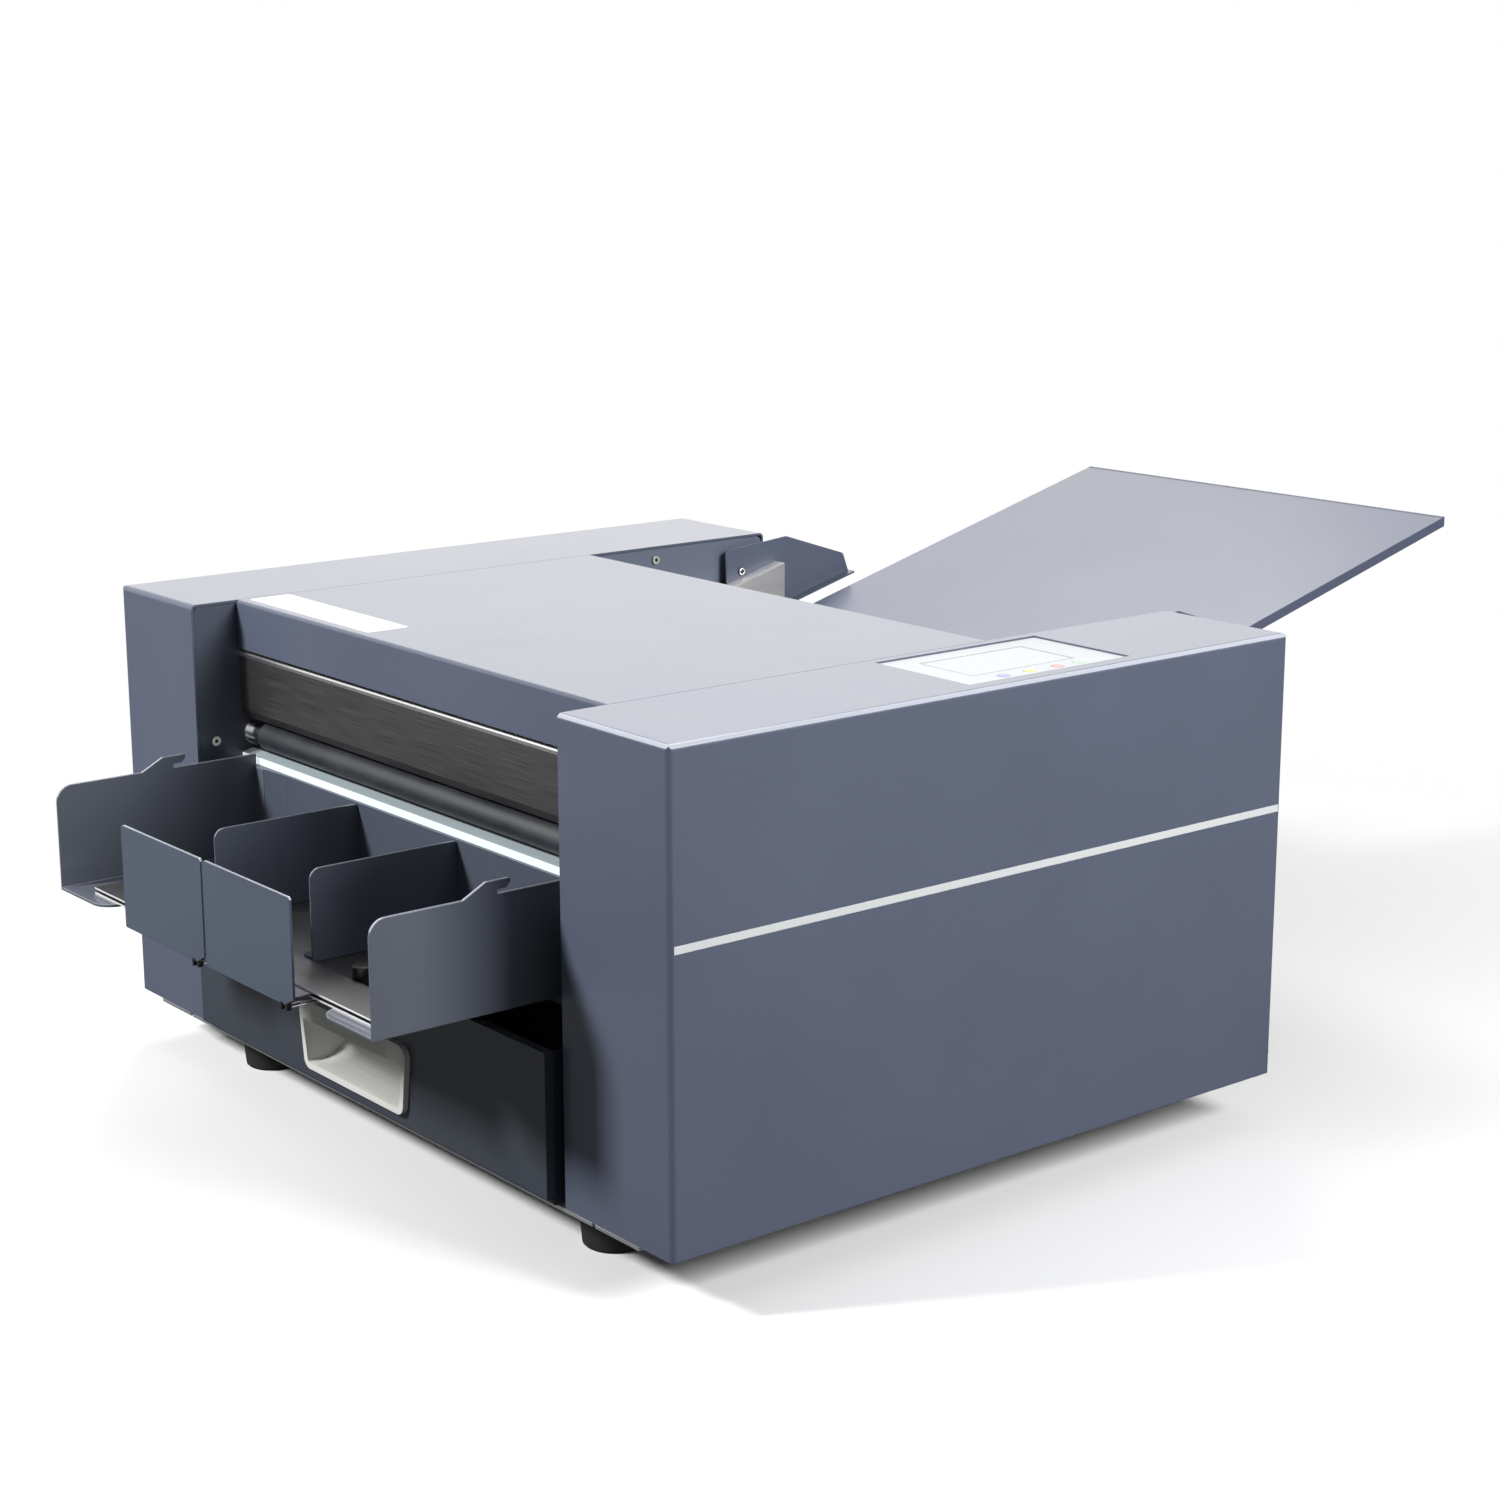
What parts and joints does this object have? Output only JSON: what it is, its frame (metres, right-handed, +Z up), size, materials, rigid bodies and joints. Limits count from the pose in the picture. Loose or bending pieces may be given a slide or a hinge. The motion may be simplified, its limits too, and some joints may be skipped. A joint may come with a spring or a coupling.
{
  "type": "desktop card cutter",
  "caption": "Desktop machine that slits and cross-cuts a printed sheet into cards: folded steel covers, hinged top, inclined feed tray, catch tray with lanes, waste bin and small key panel.",
  "frame": {"origin": "centre of the whole machine's footprint box, trays included, on the plane that the feet stand on", "axes": "+X to the right seen from the front, +Y to the back (the sheet is fed from +Y towards -Y), +Z up"},
  "size_m": [0.532, 0.79, 0.3005],
  "materials": {
    "cover_paint": "fine-textured blue-grey powder coat",
    "inner_paint": "fine-textured blue-grey powder coat",
    "bin_paint": "fine-textured blue-grey powder coat",
    "tray_paint": "satin powder coat",
    "base_steel": "dull zinc-plated sheet",
    "apron_steel": "brushed along its length",
    "tray_steel": "plain steel sheet",
    "liner_steel": "stainless sheet",
    "bright_steel": "ground steel",
    "blade_steel": "ground tool steel",
    "foot_rubber": "matte black rubber",
    "roller_rubber": "ground dark rubber",
    "belt_rubber": "matte black rubber",
    "light_bar": "translucent diffuser",
    "motor_black": "black paint",
    "bracket_metal": "plain sheet",
    "socket_plastic": "matte black",
    "panel_plastic": "satin white",
    "screen_glass": "clear",
    "cup_plastic": "satin warm white",
    "key_blue": "glossy",
    "key_yellow": "glossy",
    "key_red": "glossy",
    "key_green": "glossy",
    "rocker_red": "glossy"
  },
  "bodies": {
    "cabinet": {"base_plate": "base_steel", "rubber_feet": "foot_rubber", "left_side_frame": "inner_paint", "right_side_frame": "inner_paint", "left_side_cover": "cover_paint", "right_side_cover": "cover_paint", "rear_panel": "cover_paint", "exit_apron": "apron_steel", "exit_light_bar": "light_bar", "catch_back_wall": "inner_paint", "left_end_plate": "cover_paint", "right_end_plate": "cover_paint", "lane_floor": "tray_steel", "front_rail": "tray_steel", "paper_table": "tray_steel", "feed_tray": "tray_paint", "guide_rod": "bright_steel", "left_guide": "cover_paint", "left_guide_liner": "liner_steel", "cutter_bed": "motor_black", "lower_blade": "blade_steel", "guide_posts": "bright_steel", "shaft_bushes": "bright_steel", "cutter_motor": "motor_black", "drive_motor": "motor_black", "drive_belt": "belt_rubber", "control_unit": "bracket_metal", "power_inlet": "socket_plastic", "panel_bezel": "panel_plastic", "display_window": "screen_glass", "hinge_pins": "bright_steel", "case_screws": "bright_steel"},
    "cover": {"top_cover": "cover_paint"},
    "bin": {"waste_bin": "bin_paint", "bin_handle": "cup_plastic"},
    "divider_left": {"divider_left": "cover_paint"},
    "divider_right": {"divider_right": "cover_paint"},
    "front_stop_left": {"front_stop_left": "cover_paint"},
    "front_stop_right": {"front_stop_right": "cover_paint"},
    "paper_guide": {"right_guide": "cover_paint", "right_guide_liner": "liner_steel"},
    "key_blue": {"key_blue": "key_blue"},
    "key_yellow": {"key_yellow": "key_yellow"},
    "key_red": {"key_red": "key_red"},
    "key_green": {"key_green": "key_green"},
    "rocker": {"power_rocker": "rocker_red"},
    "blade": {"blade_beam": "motor_black", "upper_blade": "blade_steel"},
    "camshaft": {"camshaft": "bright_steel"},
    "feed_lower": {"feed_lower_shaft": "bright_steel", "feed_lower_sleeves": "roller_rubber"},
    "feed_upper": {"feed_upper_roller": "bright_steel"},
    "slitter_lower": {"slitter_lower_shaft": "bright_steel", "slitter_lower_blades": "blade_steel"},
    "slitter_upper": {"slitter_upper_shaft": "bright_steel", "slitter_upper_blades": "blade_steel"},
    "exit_lower": {"exit_lower_roller": "bright_steel"},
    "exit_upper": {"exit_upper_shaft": "bright_steel", "exit_upper_sleeve": "roller_rubber"},
    "motor_pulley": {"motor_pulley": "bright_steel"}
  },
  "joints": [
    {"name": "cover_hinge", "type": "hinge", "parent": "cabinet", "child": "cover", "pos_m": [0, -0.028, 0.2675], "axis": [-1, 0, 0], "range_deg": [0, 100]},
    {"name": "bin_slide", "type": "slide", "parent": "cabinet", "child": "bin", "axis": [0, -1, 0], "range_m": [0, 0.29]},
    {"name": "divider_left_slide", "type": "slide", "parent": "cabinet", "child": "divider_left", "axis": [1, 0, 0], "range_m": [-0.02, 0.02]},
    {"name": "divider_right_slide", "type": "slide", "parent": "cabinet", "child": "divider_right", "axis": [1, 0, 0], "range_m": [-0.02, 0.02]},
    {"name": "front_stop_left_slide", "type": "slide", "parent": "cabinet", "child": "front_stop_left", "axis": [1, 0, 0], "range_m": [-0.075, 0]},
    {"name": "front_stop_right_slide", "type": "slide", "parent": "cabinet", "child": "front_stop_right", "axis": [1, 0, 0], "range_m": [0, 0.06]},
    {"name": "paper_guide_slide", "type": "slide", "parent": "cabinet", "child": "paper_guide", "axis": [1, 0, 0], "range_m": [-0.1, 0]},
    {"name": "key_blue_press", "type": "slide", "parent": "cabinet", "child": "key_blue", "axis": [0, 0, -1], "range_m": [0, 0.0005], "stiffness_N_per_m": 400, "springref_m": -0.0005},
    {"name": "key_yellow_press", "type": "slide", "parent": "cabinet", "child": "key_yellow", "axis": [0, 0, -1], "range_m": [0, 0.0005], "stiffness_N_per_m": 400, "springref_m": -0.0005},
    {"name": "key_red_press", "type": "slide", "parent": "cabinet", "child": "key_red", "axis": [0, 0, -1], "range_m": [0, 0.0005], "stiffness_N_per_m": 400, "springref_m": -0.0005},
    {"name": "key_green_press", "type": "slide", "parent": "cabinet", "child": "key_green", "axis": [0, 0, -1], "range_m": [0, 0.0005], "stiffness_N_per_m": 400, "springref_m": -0.0005},
    {"name": "rocker_tilt", "type": "hinge", "parent": "cabinet", "child": "rocker", "pos_m": [-0.223, 0.116, 0.0945], "axis": [1, 0, 0], "range_deg": [0, 14]},
    {"name": "blade_stroke", "type": "slide", "parent": "cabinet", "child": "blade", "axis": [0, 0, -1], "range_m": [0, 0.008]},
    {"name": "camshaft_turn", "type": "hinge", "parent": "cabinet", "child": "camshaft", "pos_m": [0, -0.179, 0.2368], "axis": [1, 0, 0], "range_deg": [0, 181]},
    {"name": "slitter_lower_spin", "type": "hinge", "parent": "cabinet", "child": "slitter_lower", "pos_m": [0, -0.092, 0.17775], "axis": [1, 0, 0], "continuous": true},
    {"name": "slitter_upper_spin", "type": "hinge", "parent": "cabinet", "child": "slitter_upper", "pos_m": [0, -0.092, 0.20625], "axis": [1, 0, 0], "continuous": true},
    {"name": "feed_lower_spin", "type": "hinge", "parent": "cabinet", "child": "feed_lower", "pos_m": [0, -0.027, 0.182], "axis": [1, 0, 0], "continuous": true},
    {"name": "feed_upper_spin", "type": "hinge", "parent": "cabinet", "child": "feed_upper", "pos_m": [0, -0.027, 0.2023], "axis": [1, 0, 0], "continuous": true},
    {"name": "exit_lower_spin", "type": "hinge", "parent": "cabinet", "child": "exit_lower", "pos_m": [0, -0.251, 0.18703], "axis": [1, 0, 0], "continuous": true},
    {"name": "exit_upper_spin", "type": "hinge", "parent": "cabinet", "child": "exit_upper", "pos_m": [0, -0.259, 0.199], "axis": [1, 0, 0], "continuous": true},
    {"name": "motor_pulley_spin", "type": "hinge", "parent": "cabinet", "child": "motor_pulley", "pos_m": [0, 0.059, 0.1045], "axis": [1, 0, 0], "continuous": true}
  ],
  "couplings": [
    {"joint": "camshaft_turn", "follows": "blade_stroke", "rad_per_m": 392.7},
    {"joint": "slitter_upper_spin", "follows": "slitter_lower_spin", "ratio": -1},
    {"joint": "feed_lower_spin", "follows": "slitter_lower_spin", "ratio": 1.5},
    {"joint": "feed_upper_spin", "follows": "slitter_lower_spin", "ratio": -1.5},
    {"joint": "exit_lower_spin", "follows": "slitter_lower_spin", "ratio": 2.5},
    {"joint": "exit_upper_spin", "follows": "slitter_lower_spin", "ratio": -1.875},
    {"joint": "motor_pulley_spin", "follows": "slitter_lower_spin", "ratio": 2}
  ]
}
